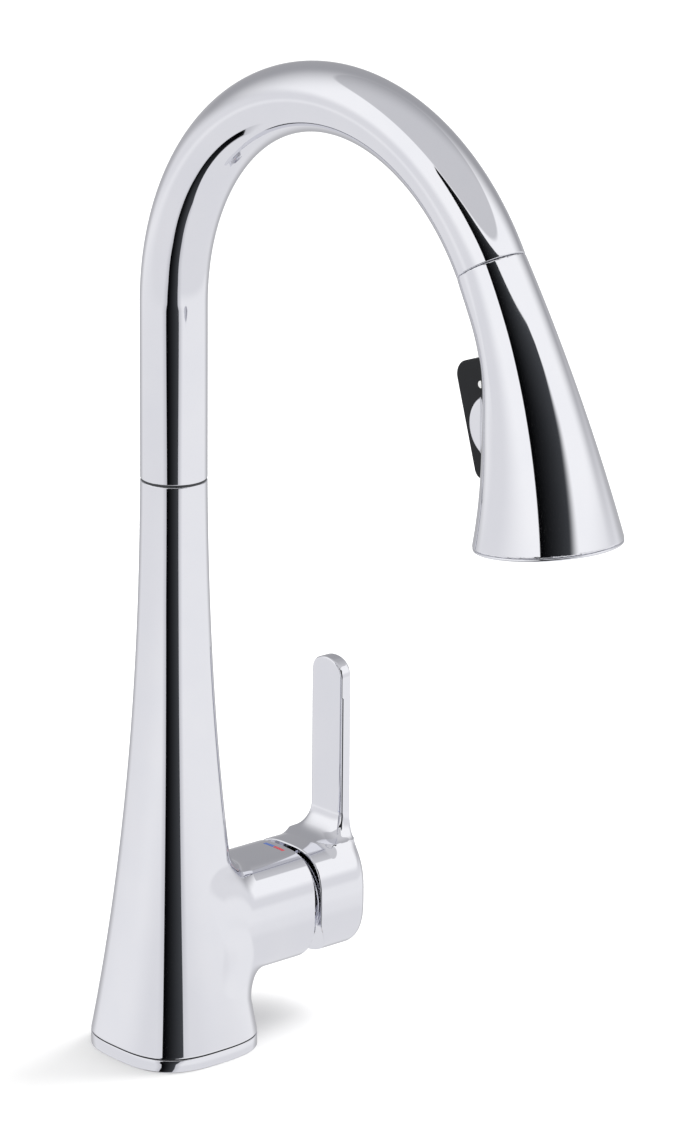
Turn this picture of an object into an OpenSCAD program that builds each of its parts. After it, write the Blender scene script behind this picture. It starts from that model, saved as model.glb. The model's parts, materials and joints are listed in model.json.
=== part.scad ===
// Pull-down kitchen faucet: single-hole body with a side lever, a high-arc swivel
// spout and a spray head on a hose.
// Frame: origin at the centre of the base on the deck, +Z up, the spout reaches
// towards -Y, the handle arm points along +X.

/* [Body] */
// Height of the body from the deck to the spout seam
body_h = 241.5; // [200:0.5:290]
// Width of the rounded-square base
base_w = 61.4; // [56:0.2:74]
// Squareness of the base outline, 2 is round
base_square = 2.9; // [2.4:0.1:4]
// Height of the trim ring under the body
foot_h = 5.4; // [4:0.1:8]
// How late the body flares out towards the base
flare_power = 2.15; // [1.8:0.05:2.6]
// Bore of the body that the spout turns in
body_bore = 24; // [23:0.1:24.4]

/* [Spout] */
// Outer diameter of the spout tube
tube_d = 27; // [26.6:0.1:32]
// Wall of the spout tube
tube_wall = 1.25; // [0.8:0.05:1.3]
// Straight rise above the seam
riser_h = 72.5; // [50:0.5:120]
// Radius of the arc, at the middle of the tube
arc_r = 99; // [85:1:120]
// How far round the arc goes
arc_deg = 149; // [135:1:160]
// Height of the dark glide washer at the seam
seam_h = 0.8; // [0.5:0.1:1.5]

/* [Spray head] */
// Length of the head along its curved axis
head_len = 105; // [90:1:130]
// Diameter of the head at its face
head_d = 56.8; // [50:0.2:66]
// How much further the head bends than the spout
head_bend = 24.5; // [15:0.5:30]
// Wall of the head shell
head_wall = 1.8; // [1.4:0.1:2.2]
// Width of the trigger
trigger_w = 18; // [14:0.5:19]
// Diameter of the spray hose
hose_d = 11; // [9:0.5:11.5]

/* [Valve arm] */
// Height of the arm's axis above the deck
arm_z = 49.5; // [45:0.5:60]
// Distance from the body's axis to the arm's rim
arm_x = 57.4; // [52:0.2:66]
// Width of the arm
arm_w = 44.4; // [42:0.2:50]
// Height of the arm
arm_h = 46.6; // [43:0.2:52]
// Squareness of the arm's outline
arm_square = 3; // [2.4:0.1:4]
// Diameter of the ceramic cartridge
cartridge_d = 35; // [32:0.5:35]

/* [Handle] */
// Gap between the arm's rim and the handle's hub
hub_gap = 3.2; // [2.4:0.1:4]
// Length of the hub along the arm's axis
hub_len = 26.9; // [24:0.1:32]
// Height of the lever's top above the arm's axis
lever_h = 100; // [80:1:125]
// Width of the lever
lever_w = 20; // [14:0.5:22]
// Thickness of the lever
lever_t = 6; // [4.5:0.1:8]

/* [Mounting] */
// Outer diameter of the threaded shank
shank_d = 32; // [31.6:0.1:33.5]
// Length of the shank below the deck
shank_len = 65; // [50:1:90]
// Wall of the shank
shank_wall = 1.7; // [1.2:0.1:1.7]
// Thickness of the deck it is clamped to
deck_t = 25; // [3:1:35]
// Outer diameter of the supply tubes
supply_d = 7; // [6:0.1:7]

/* [Hidden] */

chrome = "#D9DCE1";
brass = "#B9974F";
steel = "#A9ADB2";
black_plastic = "#1B1E21";
rubber = "#26272A";
white_plastic = "#E6E6E2";

free_fit = 0.3;    // room between pieces that move past each other
run_fit = 0.05;    // radial clearance of a running fit
seat_fit = 0.05;   // clearance of a piece that is pressed or screwed in
true_round = 64;

tube_r = tube_d / 2;
tube_bore_r = tube_r - tube_wall;
bore_r = body_bore / 2;
seam_z = body_h + seam_h;
arc_z = body_h + riser_h;
spout_y = -arc_r * (1 - cos(arc_deg));
spout_z = arc_z + arc_r * sin(arc_deg);
base_r = base_w / 2;
shank_r = shank_d / 2;
shank_bore_r = shank_r - shank_wall;
socket_h = 22;          // depth of the shank's socket in the body
hose_r = hose_d / 2;
hose_way_r = hose_r + 0.7;
supply_r = supply_d / 2;
supply_at = shank_bore_r - supply_r - 0.2;
supply_turn = [-50, 50];
supply_in = 14;         // how far a supply tube enters its port
supply_tail = 9;        // how far it stands out below the shank
supply_wall = 1;

// ---- helpers ----------------------------------------------------------------

// Distance from the centre to a superellipse, at angle a
function super_r(a, w, h, n) =
    1 / pow(pow(abs(cos(a)) / w, n) + pow(abs(sin(a)) / h, n), 1 / n);

function super_loop(w, h, n, sides) =
    [for (i = [0:sides - 1]) let (a = 360 * i / sides, r = super_r(a, w, h, n))
        [r * cos(a), r * sin(a)]];

// Closed skin over a list of rings that all have the same number of points
module skin(rings) {
    n = len(rings[0]);
    last = (len(rings) - 1) * n;
    sides = [for (i = [0:len(rings) - 2]) for (j = [0:n - 1]) for (upper = [false, true])
        let (a = i * n + j, b = i * n + (j + 1) % n, c = a + n, d = b + n)
        upper ? [a, c, d] : [a, d, b]];
    polyhedron([for (ring = rings) for (p = ring) p],
        concat([[for (j = [0:n - 1]) j]], sides, [[for (j = [n - 1:-1:0]) last + j]]));
}

module ring(outer_r, inner_r, h, z = 0) {
    translate([0, 0, z]) difference() {
        cylinder(r = outer_r, h = h, $fn = true_round);
        translate([0, 0, -1]) cylinder(r = inner_r, h = h + 2, $fn = true_round);
    }
}

module rod(r, h, z = 0) {
    translate([0, 0, z]) cylinder(r = r, h = h, $fn = true_round);
}

// Puts a shape drawn along +Z onto the arm's axis, starting at x
module on_arm(x) {
    translate([x, 0, arm_z]) rotate([0, 90, 0]) children();
}

// ---- body -------------------------------------------------------------------

// Half width and squareness of the body at height z
function body_half(z) =
    min(base_r, tube_r + (base_r + 1 - tube_r) * pow(1 - z / body_h, flare_power));
function body_square(z) = 2 + (base_square - 2) * (1 - z / body_h);

body_sides = 56;
body_rings = 20;
foot_seam = 0.6;        // dark groove between the trim ring and the body
column_z0 = foot_h + foot_seam;

module body_column() {
    skin([for (i = [0:body_rings]) let (z = column_z0 + (body_h - column_z0) * i / body_rings)
        [for (p = super_loop(body_half(z), body_half(z), body_square(z), body_sides))
            [p.x, p.y, z]]]);
    translate([0, 0, foot_h]) linear_extrude(foot_seam + 1)
        polygon(super_loop(base_r - 1, base_r - 1, base_square, body_sides));
}

// The arm swells where it leaves the body, in a round fillet
arm_fillet = 9;
arm_root = body_half(arm_z) - 1;
function arm_swell(x) = let (t = max(0, arm_fillet - max(0, x - arm_root)))
    arm_fillet - sqrt(arm_fillet * arm_fillet - t * t * 0.98);

module arm_outside() {
    stations = concat([8], [for (i = [0:6]) arm_root + arm_fillet * i / 6], [arm_x]);
    skin([for (x = stations)
        let (s = arm_swell(x), loop = super_loop(arm_w / 2 + s / 6, arm_h / 2 + s, arm_square, body_sides))
        [for (p = loop) [x, p.x, arm_z + p.y]]]);
}

// Teardrop through both rims under the axis: the handle tilts into it
relief_r = 5.6;
relief_x = arm_x + 3.5;
relief_z = arm_z - 22;
relief_top = arm_z - 3.5;

module tilt_relief() {
    depth = arm_w + 20;
    translate([0, depth / 2, 0]) rotate([90, 0, 0]) linear_extrude(depth) {
        translate([relief_x, relief_z]) circle(r = relief_r, $fn = true_round);
        polygon([[arm_x + hub_gap / 2, relief_top], [relief_x - relief_r, relief_z],
            [relief_x - relief_r, relief_z - 12], [relief_x + relief_r, relief_z - 12],
            [relief_x + relief_r, relief_z + 3.5]]);
    }
}

chamber_x = 24;         // floor of the cartridge chamber
chamber_r = cartridge_d / 2 + 1;

module supply_place() {
    for (a = supply_turn) rotate([0, 0, a]) translate([supply_at, 0, 0]) children();
}

module body_bores() {
    rod(shank_r + seat_fit, socket_h + 1, -1);
    rod(hose_way_r, arm_z + 12 - socket_h, socket_h - 0.5);
    rod(bore_r - 3, body_h - arm_z - 11, arm_z + 11);
    rod(bore_r, body_h, body_h - nipple_drop - 4);
    on_arm(chamber_x) rod(chamber_r, 60);
    port_r = supply_r - 1;
    supply_place() {
        rod(supply_r + seat_fit, supply_in + 0.5, socket_h - 0.5);
        rod(port_r, arm_z - 7 - socket_h, socket_h);
    }
    translate([supply_at, 0, 0]) {
        rod(supply_r + seat_fit, supply_in + 0.5, socket_h - 0.5);
        rod(port_r, arm_z + 9 - socket_h, socket_h);
    }
    for (a = supply_turn) translate([supply_at * cos(a), supply_at * sin(a), arm_z - 9])
        rotate([0, 90, 0]) rod(port_r, chamber_x + 1 - supply_at * cos(a));
    translate([supply_at, 0, arm_z + 7]) rotate([0, 90, 0])
        rod(port_r, chamber_x + 1 - supply_at);
}

mark_w = 1.6;
mark_len = 5.8;
mark_x = arm_x - 4.6;

module mark_slot(side, gap) {
    translate([mark_x - gap, side * (mark_len / 2 + 0.2) - mark_len / 2 - gap, arm_z + arm_h / 2 - 1.2])
        cube([mark_w + 2 * gap, mark_len + 2 * gap, 3]);
}

module body() {
    color(chrome) difference() {
        union() {
            body_column();
            arm_outside();
        }
        body_bores();
        tilt_relief();
        mark_slot(1, seat_fit);
        mark_slot(-1, seat_fit);
    }
}

module mark(side) {
    intersection() {
        mark_slot(side, 0);
        on_arm(mark_x - 2) rotate([0, 0, 90]) linear_extrude(mark_w + 4)
            polygon(super_loop(arm_w / 2, arm_h / 2 + 0.05, arm_square, body_sides));
    }
}
module cold_mark() { color("#3F63B5") mark(1); }
module hot_mark() { color("#C22B3C") mark(-1); }

gasket_h = 1.2;
gasket_in = shank_r + 2;
gasket_out = base_r - 4.2;

module base_ring() {
    color(chrome) difference() {
        linear_extrude(foot_h) polygon(super_loop(base_r, base_r, base_square, body_sides));
        rod(shank_r + 0.6, foot_h + 2, -1);
        ring(gasket_out, gasket_in, gasket_h + 1, -1);
    }
}
module base_gasket() {
    color(rubber) ring(gasket_out - seat_fit, gasket_in + seat_fit, gasket_h);
}

// ---- mounting under the deck ---------------------------------------------------

washer_r = 27;
seal_t = 2;
washer_t = 1.5;
nut_top = -deck_t - seal_t - washer_t - 0.8;
nut_h = 13;
nut_flange_r = 27.5;
clamp_r = 2.5;
clamp_at = 23.6;
clamp_count = 2;
lead_in = 8;            // plain end of the shank, below the thread

module shank() {
    color(brass) {
        ring(shank_r, shank_bore_r, shank_len - lead_in + socket_h - 0.2, lead_in - shank_len);
        ring(shank_r - 0.4, shank_bore_r, lead_in, -shank_len);
    }
}
module deck_seal() { color(rubber) ring(washer_r, shank_r + 0.3, seal_t, -deck_t - seal_t); }
module deck_washer() {
    color(steel) ring(washer_r, shank_r + 0.3, washer_t, -deck_t - seal_t - washer_t);
}
module clamp_place() {
    for (i = [0:clamp_count - 1]) rotate([0, 0, 90 + i * 360 / clamp_count])
        translate([clamp_at, 0, 0]) children();
}
module mounting_nut() {
    color(brass) difference() {
        union() {
            translate([0, 0, nut_top - nut_h]) cylinder(r = shank_r + 5, h = nut_h, $fn = 6);
            rod(nut_flange_r, 5, nut_top - 5);
        }
        rod(shank_r + seat_fit, nut_h + 2, nut_top - nut_h - 1);
        clamp_place() rod(clamp_r + seat_fit, 20, nut_top - 10);
    }
}
module clamp_screws() {
    color(steel) clamp_place() {
        rod(clamp_r, 22.8, nut_top - 22);
        translate([0, 0, nut_top - 26]) cylinder(r = 4.4, h = 4, $fn = 6);
    }
}
module supply_tube() {
    length = shank_len + supply_tail + socket_h + supply_in - 0.5;
    translate([0, 0, -shank_len - supply_tail])
        ring(supply_r, supply_r - supply_wall, length);
}
module supply_tubes() { color(steel) supply_place() supply_tube(); }
module outlet_tube() { color(steel) translate([supply_at, 0, 0]) supply_tube(); }

// ---- spout --------------------------------------------------------------------

nipple_drop = 46;       // how far the spout's nipple reaches into the body
nipple_r = bore_r - 1.4;
nipple_bore_r = hose_r + 2.7;
bushing_h = 7;
clip_z = body_h - nipple_drop + 2;

module glide_washer() { color("#303236") ring(tube_r - 0.3, nipple_r + 0.2, seam_h - 0.1, body_h); }

module spout_bushings() {
    color(white_plastic) for (z = [body_h - bushing_h - 0.2, clip_z + 3])
        ring(bore_r - seat_fit, nipple_r + run_fit, bushing_h, z);
}

module spout_nipple() {
    color(brass) difference() {
        union() {
            rod(nipple_r, nipple_drop + 1, body_h - nipple_drop);
            rod(tube_bore_r - seat_fit, 14, seam_z + 0.1);
        }
        rod(nipple_bore_r, nipple_drop + 20, body_h - nipple_drop - 1);
        ring(nipple_r + 1, nipple_r - 0.8, 1.3, clip_z);
    }
}
module retaining_clip() {
    color(steel) difference() {
        ring(bore_r - 0.5, nipple_r - 0.75, 1.2, clip_z + seat_fit);
        translate([0, -3, clip_z - 1]) cube([bore_r + 1, 6, 4]);
    }
}

module spout_tube() {
    color(chrome) {
        ring(tube_r, tube_bore_r, arc_z - seam_z, seam_z);
        translate([0, -arc_r, arc_z]) rotate([0, 90, 0]) rotate([0, 0, 90])
            rotate_extrude(angle = arc_deg, $fn = 96) translate([arc_r, 0]) difference() {
                circle(r = tube_r, $fn = true_round);
                circle(r = tube_bore_r, $fn = true_round);
            }
    }
}

// Puts a shape onto the head's curved axis at s along it: +Z is downstream,
// -Y is the side that faces the riser
head_arc = head_len * 180 / (PI * head_bend);
function head_angle(s) = arc_deg + head_bend * s / head_len;
function head_y(s) = spout_y - head_arc * (cos(arc_deg) - cos(head_angle(s)));
function head_z(s) = spout_z + head_arc * (sin(head_angle(s)) - sin(arc_deg));

module at_outlet() {
    translate([0, spout_y, spout_z]) rotate([arc_deg, 0, 0]) children();
}
module at_head(s) {
    translate([0, head_y(s), head_z(s)]) rotate([head_angle(s), 0, 0]) children();
}

collar_r = 9.4;
collar_bore_r = hose_r + 1.6;
collar_len = 11;
dock_len = 12.6;
magnet_t = 4.3;

module dock_insert() {
    color(black_plastic) at_outlet()
        ring(tube_bore_r - 0.95, collar_r + 0.4, dock_len, -0.4 - dock_len);
}
module dock_magnet() {
    color("#6F7276") at_outlet()
        ring(tube_bore_r - 1.95, hose_r + 1.5, magnet_t, -0.6 - dock_len - magnet_t);
}

// The hose lies along the outside of the arc and leaves the outlet straight.
// Each point is [y, z]; the last three are on the outlet's axis.
hose_points = [[0, -88], [0, -60], [0, -30], [0, 0], [0, 30], [0, 60], [0, 90], [0, 120],
    [0, 150], [0, 180], [0, 210], [0, 240], [0, 270], [0, 295], [0, 314], [-1.4, 331],
    [-5.4, 348], [-12.3, 364], [-21.9, 378.7], [-34, 391.8], [-48, 402.3], [-64, 410.5],
    [-81.1, 415.6], [-99, 417.7], [-117.1, 416.6], [-134, 412.2], [-149.5, 405.3],
    [-162, 396.9], [-168.4, 390.7], [-173.6, 382.1], [-178.7, 373.6]];
hose_sides = 12;

function unit(v) = v / norm(v);
function hose_ring(i) =
    let (a = hose_points[max(0, i - 1)], b = hose_points[min(len(hose_points) - 1, i + 1)],
        t = unit(b - a), p = hose_points[i])
    [for (k = [0:hose_sides - 1]) let (w = 360 * k / hose_sides)
        [hose_r * cos(w), p[0] + hose_r * sin(w) * t[1], p[1] - hose_r * sin(w) * t[0]]];

module spray_hose() {
    color("#4A4D52") skin([for (i = [0:len(hose_points) - 1]) hose_ring(i)]);
}
module hose_coupling() {
    color(brass) {
        ring(hose_r + 1.6, 3, 12, hose_points[0][1] - 12);
        ring(hose_r + 3, 3, 8, hose_points[0][1] - 20);
    }
}

ferrule_z = -10;
nut_z = 4;
hose_nut_r = 8.6;
hose_nut_len = 11;

module hose_ferrule() {
    color(steel) at_outlet() ring(collar_bore_r - free_fit, hose_r - 1.6, nut_z - ferrule_z, ferrule_z);
}
module hose_nut() {
    color(brass) at_outlet() ring(hose_nut_r, 3.6, hose_nut_len, nut_z);
}

// ---- spray head -----------------------------------------------------------------

face_r = head_d / 2;
head_round = 0.39;      // share of the flare that grows evenly along the head
scoop = 2.6;            // depth of the hollow in the riser side
scoop_end = 0.62;

function head_r(u) = tube_r + (face_r - tube_r) * (head_round * u + (1 - head_round) * u * u);
function scoop_at(u, a) = u < scoop_end
    ? scoop * pow(sin(180 * u / scoop_end), 2) * max(0, -sin(a)) : 0;

module head_skin(inset, from, to, rings, sides) {
    skin([for (i = [0:rings]) let (s = from + (to - from) * i / rings,
            u = max(0, min(1, s / head_len)), w = head_angle(s))
        [for (k = [0:sides - 1]) let (a = 360 * k / sides,
                r = head_r(u) - inset - scoop_at(u, a), x = r * cos(a), y = r * sin(a))
            [x, head_y(s) + y * cos(w), head_z(s) + y * sin(w)]]]);
}

trigger_s = 59;         // station of the trigger's pivot
pivot_n = 18;           // pivot's distance from the head's axis
trigger_face = 27.7;    // outer face's distance from the head's axis
trigger_up = 26;
trigger_down = 19;
trigger_wall = 2;
ear_r = 12.5;
ear_n = 9.5;
ear_t = 3.2;
pin_r = 1.25;
trigger_room = 0.5;

// Puts a shape drawn in [distance from the axis, distance down the head] across the head
module trigger_slab(width) {
    at_head(trigger_s) rotate([0, 0, -90]) rotate([90, 0, 0])
        translate([0, 0, -width / 2]) linear_extrude(width) children();
}

module across_pivot(r, width) {
    trigger_slab(width) translate([pivot_n, 0]) circle(r = r, $fn = true_round);
}

module head_shell() {
    slot = trigger_w + 2 * trigger_room;
    color(chrome) difference() {
        union() {
            difference() {
                head_skin(0, 0.15, head_len, 18, 48);
                head_skin(head_wall, -0.6, head_len + 1, 12, 36);
            }
            difference() {
                trigger_slab(slot + 2 * ear_t) translate([ear_n, 0]) circle(r = ear_r, $fn = true_round);
                trigger_slab(slot + 10) translate([-20, -20]) square([20 + ear_n - 1, 40]);
            }
        }
        trigger_slab(slot) translate([2, -trigger_up - 1.5])
            square([40, trigger_up + trigger_down + 3]);
        across_pivot(pin_r + seat_fit, slot + 2 * ear_t - 1.4);
    }
}

module head_collar() {
    color(steel) at_outlet() {
        ring(collar_r, collar_bore_r, collar_len, -collar_len);
        ring(tube_r - head_wall - 0.4, collar_bore_r, 3.4, 0.2);
        ring(collar_r, collar_bore_r, 0.4, -0.1);
    }
}

way_r = 8;
inlet_end = 15.6;
chamber_back = 14.4;    // back of the spray chamber, behind the face

module waterway() {
    boss_at = -9;
    color(black_plastic) difference() {
        union() {
            at_outlet() {
                rod(hose_nut_r + 1.9, inlet_end - 3.7, 3.7);
                rod(way_r, 34, inlet_end - 1);
            }
            at_head(head_len - 10) {
                translate([0, 0, -48]) cylinder(r1 = way_r - 2, r2 = way_r + 7, h = 40, $fn = true_round);
            }
            at_head(head_len) translate([0, 0, -chamber_back])
                cylinder(r1 = head_r(1 - chamber_back / head_len) - head_wall - 1.2,
                    r2 = face_r - head_wall - 1.2, h = chamber_back - plate_t - 0.4, $fn = true_round);
            trigger_slab(8) translate([0, boss_at - 4]) square([13.5, 8]);
        }
        at_outlet() {
            rod(hose_nut_r + 0.3, inlet_end - 3, 3);
            rod(way_r - 2, 30, inlet_end - 1);
        }
        at_head(head_len) rod(face_r - head_wall - 5, 8, -3.4 - 8);
        at_head(head_len) rod(5.4, 30, -30);
        at_head(head_len - 10) rod(way_r - 3.6, 50, -50);
        at_head(trigger_s) translate([0, 0, boss_at]) rotate([90, 0, 0]) rod(plunger_r + 0.1, 30, 5);
    }
}

module check_valve() {
    color(white_plastic) at_outlet() ring(way_r - 2 - seat_fit, 2.5, 9, inlet_end + 1);
}

module face_ring() {
    color(chrome) at_head(head_len)
        ring(face_r - 0.15, face_r - head_wall - 0.9, 1.2, 0.05);
}

plate_t = 3;
aerator_r = 8;
nozzle_r = 1.15;
nozzle_rings = [[12, 10], [16.5, 16], [21, 22]];

module nozzle_place() {
    at_head(head_len) for (row = nozzle_rings) for (i = [0:row[1] - 1])
        rotate([0, 0, 360 * (i + 0.5) / row[1]]) translate([row[0], 0, 0]) children();
}
module spray_face() {
    color("#8B8F94") difference() {
        at_head(head_len) ring(face_r - head_wall - 1.2, aerator_r + seat_fit, plate_t, -plate_t);
        nozzle_place() rod(nozzle_r + 0.02, 10, -5);
    }
}
module spray_nozzles() {
    color(rubber) nozzle_place() rod(nozzle_r, plate_t + 0.9, -plate_t + 0.3);
}
module aerator() {
    color(black_plastic) at_head(head_len) difference() {
        rod(aerator_r, 7.2, -6.2);
        rod(aerator_r - 1.6, 2, -0.4);
        for (i = [0:5]) rotate([0, 0, 60 * i]) translate([3.6, 0, 0]) rod(1, 20, -10);
        rod(1.2, 20, -10);
    }
}

// ---- trigger ----------------------------------------------------------------------

plunger_r = 2;
plunger_at = -9;
plunger_gap = 0.4;      // free play under the trigger
trigger_plate = 2.5;
corner_top = 6;
corner_low = 4;

module trigger_outline() {
    translate([trigger_face - corner_top, -trigger_up + corner_top])
        circle(r = corner_top, $fn = true_round);
    translate([trigger_face - corner_low, trigger_down - corner_low])
        circle(r = corner_low, $fn = true_round);
    polygon([[12.5, -trigger_up], [trigger_face - corner_top, -trigger_up],
        [trigger_face, -trigger_up + corner_top], [trigger_face, trigger_down - corner_low],
        [trigger_face - corner_low, trigger_down], [20, trigger_down], [15.5, 4], [13.5, -6]]);
}
module trigger() {
    color(black_plastic) difference() {
        trigger_slab(trigger_w) trigger_outline();
        trigger_slab(trigger_w - 2 * trigger_wall) translate([0, -trigger_up + trigger_wall])
            square([trigger_face - trigger_plate, trigger_up + trigger_down - 2 * trigger_wall]);
        across_pivot(pin_r + run_fit, trigger_w + 2);
        for (side = [-1, 1]) at_head(trigger_s)
            translate([side * trigger_w / 2, -mark_n, mark_t]) rotate([0, 90, 0])
                rod(dot_r + 0.02, 1.6, -0.8);
    }
}

dot_r = 1.4;
mark_n = 14.9;
mark_t = -16.3;

module trigger_marks() {
    color("white") for (side = [-1, 1]) at_head(trigger_s)
        translate([side * (trigger_w / 2 - 0.38), -mark_n, mark_t]) rotate([0, 90, 0])
            rod(dot_r, 0.8, -0.4);
}
module trigger_pin() {
    color(steel) across_pivot(pin_r, trigger_w + 2 * trigger_room + 2 * ear_t - 1.6);
}
module trigger_spring() {
    color(steel) difference() {
        across_pivot(3.4, 8);
        across_pivot(pin_r + 0.3, 10);
    }
}
module diverter_plunger() {
    color(brass) at_head(trigger_s) translate([0, 0, plunger_at]) rotate([90, 0, 0])
        rod(plunger_r, trigger_face - trigger_plate - plunger_gap - 9, 9);
}

// ---- valve ----------------------------------------------------------------------

tilt_x = arm_x + 0.6;   // the stem's cross pin, where the handle tilts
seal_gap = 0.8;
cartridge_x = chamber_x + seal_gap;
neck_x = arm_x - 11.4;
turret_x = arm_x - 6.2;
dome_r = chamber_r - 1.5;
dome_hole_r = 10;
stem_w = 6;
stem_h = 8;
stem_len = 24;

module cartridge() {
    color(white_plastic) {
        on_arm(cartridge_x) rod(cartridge_d / 2, neck_x - cartridge_x);
        on_arm(neck_x - 0.1) rod(11.8, turret_x - neck_x - 0.1);
    }
}
module cartridge_seals() {
    color(rubber) on_arm(chamber_x) {
        for (p = [[9, supply_at * sin(50)], [9, -supply_at * sin(50)], [-7, 0]])
            translate([p[0], p[1], 0]) ring(4.2, 3, seal_gap);
    }
}
module cartridge_nut() {
    color(brass) on_arm(neck_x + 0.1) difference() {
        rod(chamber_r - 0.1, 5);
        translate([0, 0, -1]) cylinder(r = 12.3, h = 8, $fn = true_round);
    }
}
module bonnet() {
    skirt = 5.4;
    color(chrome) difference() {
        union() {
            on_arm(arm_x - skirt) rod(chamber_r - 0.1, skirt);
            on_arm(tilt_x) sphere(r = dome_r, $fn = true_round);
        }
        on_arm(arm_x - 40) rod(60, 40 - skirt);
        on_arm(arm_x - 40) rod(dome_r - 1.5, 40.6);
        on_arm(tilt_x) sphere(r = dome_r - 1.5, $fn = true_round);
        on_arm(tilt_x) rod(dome_hole_r, 40);
    }
}
module stem_turret() {
    color(black_plastic) difference() {
        on_arm(turret_x) rod(9.5, 11);
        translate([tilt_x - 5.4, -stem_w / 2 - 0.15, arm_z - 20]) cube([20, stem_w + 0.3, 40]);
        translate([tilt_x, 0, arm_z]) rotate([90, 0, 0]) rod(1.5 + seat_fit, 17.2, -8.6);
    }
}
module stem_pin() {
    color(steel) translate([tilt_x, 0, arm_z]) rotate([90, 0, 0]) rod(1.5, 17, -8.5);
}
module valve_stem() {
    color(steel) difference() {
        translate([tilt_x - 3, -stem_w / 2, arm_z - stem_h / 2]) cube([stem_len + 3, stem_w, stem_h]);
        translate([tilt_x, 0, arm_z]) rotate([90, 0, 0]) rod(1.5 + run_fit, 20, -10);
    }
}

// ---- handle --------------------------------------------------------------------

hub_x = arm_x + hub_gap;
hub_end = hub_x + hub_len;
hub_round = 7;
hub_sides = 48;
hub_bore_r = chamber_r + 1;
hub_floor = tilt_x + dome_r + 0.5;
lever_foot = 11;        // radius of the fillet between the lever and the hub
screw_x = tilt_x + stem_len - 3.8;

function hub_shrink(x) = let (t = max(0, x - (hub_end - hub_round)))
    hub_round - sqrt(hub_round * hub_round - t * t * 0.98);

module hub_outside() {
    stations = concat([hub_x], [for (i = [0:6]) hub_end - hub_round + hub_round * sin(15 * i)]);
    skin([for (x = stations) let (s = hub_shrink(x),
            loop = super_loop(arm_w / 2 - s, arm_h / 2 - s, arm_square, hub_sides))
        [for (p = loop) [x, p.x, arm_z + p.y]]]);
}

lever_sides = 32;
lever_square = 6;         // how square the lever's section is: 2 is an ellipse
lever_top = arm_z + lever_h;
foot_z = arm_z + arm_h / 2 + lever_foot;    // where the foot's fillet starts
function foot_in(z) = z >= foot_z ? 0
    : let (t = min(lever_foot, foot_z - z)) lever_foot - sqrt(lever_foot * lever_foot - t * t * 0.98);
function foot_out(z) = 0.5 * foot_in(z);
// The lever's top is a half ellipse seen from the side of the body
top_round = 8;
function top_share(z) = z <= lever_top - top_round ? 1
    : sqrt(max(0.02, 1 - pow((z - lever_top + top_round) / top_round, 2)));

module lever_outside() {
    low = [for (i = [0:6]) foot_z - lever_foot * cos(15 * i)];
    high = [for (i = [0:6]) lever_top - top_round + top_round * sin(14.6 * i)];
    skin([for (z = concat([arm_z + 6], low, [foot_z + 20], high)) let (
            inside = hub_end - lever_t - foot_in(z),
            half_y = (lever_w / 2 + foot_out(z)) * top_share(z),
            half_x = (hub_end - inside) / 2)
        [for (p = super_loop(half_x, half_y, lever_square, lever_sides))
            [inside + half_x + p.x, p.y, z]]]);
}

module handle() {
    color(chrome) difference() {
        union() {
            hub_outside();
            lever_outside();
        }
        on_arm(hub_x - 1) rod(hub_bore_r, hub_floor - hub_x + 1);
        translate([hub_floor - 1, -stem_w / 2 - seat_fit, arm_z - stem_h / 2 - seat_fit])
            cube([tilt_x + stem_len + 0.3 - hub_floor + 1, stem_w + 2 * seat_fit, stem_h + 2 * seat_fit]);
        translate([screw_x, 0, 0]) rod(clamp_r + seat_fit, arm_z);
        translate([screw_x, 0, 0]) rod(plug_r + seat_fit, arm_z - arm_h / 2 + plug_t);
        tilt_relief();
    }
}

plug_r = 3.4;
plug_t = 3.4;

module handle_screw() {
    top = arm_z - stem_h / 2 - seat_fit;
    color(steel) translate([screw_x, 0, 0]) difference() {
        rod(clamp_r, 12, top - 12.1);
        translate([0, 0, top - 12.1 - 1]) cylinder(r = 1.4, h = 4, $fn = 6);
    }
}
module handle_plug() {
    color(steel) intersection() {
        translate([screw_x, 0, 0]) rod(plug_r, 3, arm_z - arm_h / 2 - 0.0);
        hub_outside();
    }
}

// ---- every node --------------------------------------------------------------------

base_ring();
base_gasket();
body();
cold_mark();
hot_mark();
shank();
deck_seal();
deck_washer();
mounting_nut();
clamp_screws();
supply_tubes();
outlet_tube();
glide_washer();
spout_bushings();
spout_tube();
spout_nipple();
retaining_clip();
dock_insert();
dock_magnet();
spray_hose();
hose_coupling();
hose_ferrule();
hose_nut();
head_collar();
head_shell();
waterway();
check_valve();
face_ring();
spray_face();
spray_nozzles();
aerator();
trigger();
trigger_marks();
trigger_pin();
trigger_spring();
diverter_plunger();
cartridge();
cartridge_seals();
cartridge_nut();
bonnet();
stem_turret();
stem_pin();
valve_stem();
handle();
handle_screw();
handle_plug();
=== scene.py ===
# %% [markdown]
# # A pull-down kitchen faucet
#
# The faucet is one chrome casting with a lever on its side, a tall bent spout and a
# spray head that pulls down on a hose. Chrome shows nothing but its surroundings, so
# two things matter here: surfaces that are smooth to the eye, and a studio with clear
# light and dark areas. The exact model is loaded first. Everything is placed from it.

# %% The frame
import json
import math

import bpy
import numpy as np
from mathutils import Matrix, Vector


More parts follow.
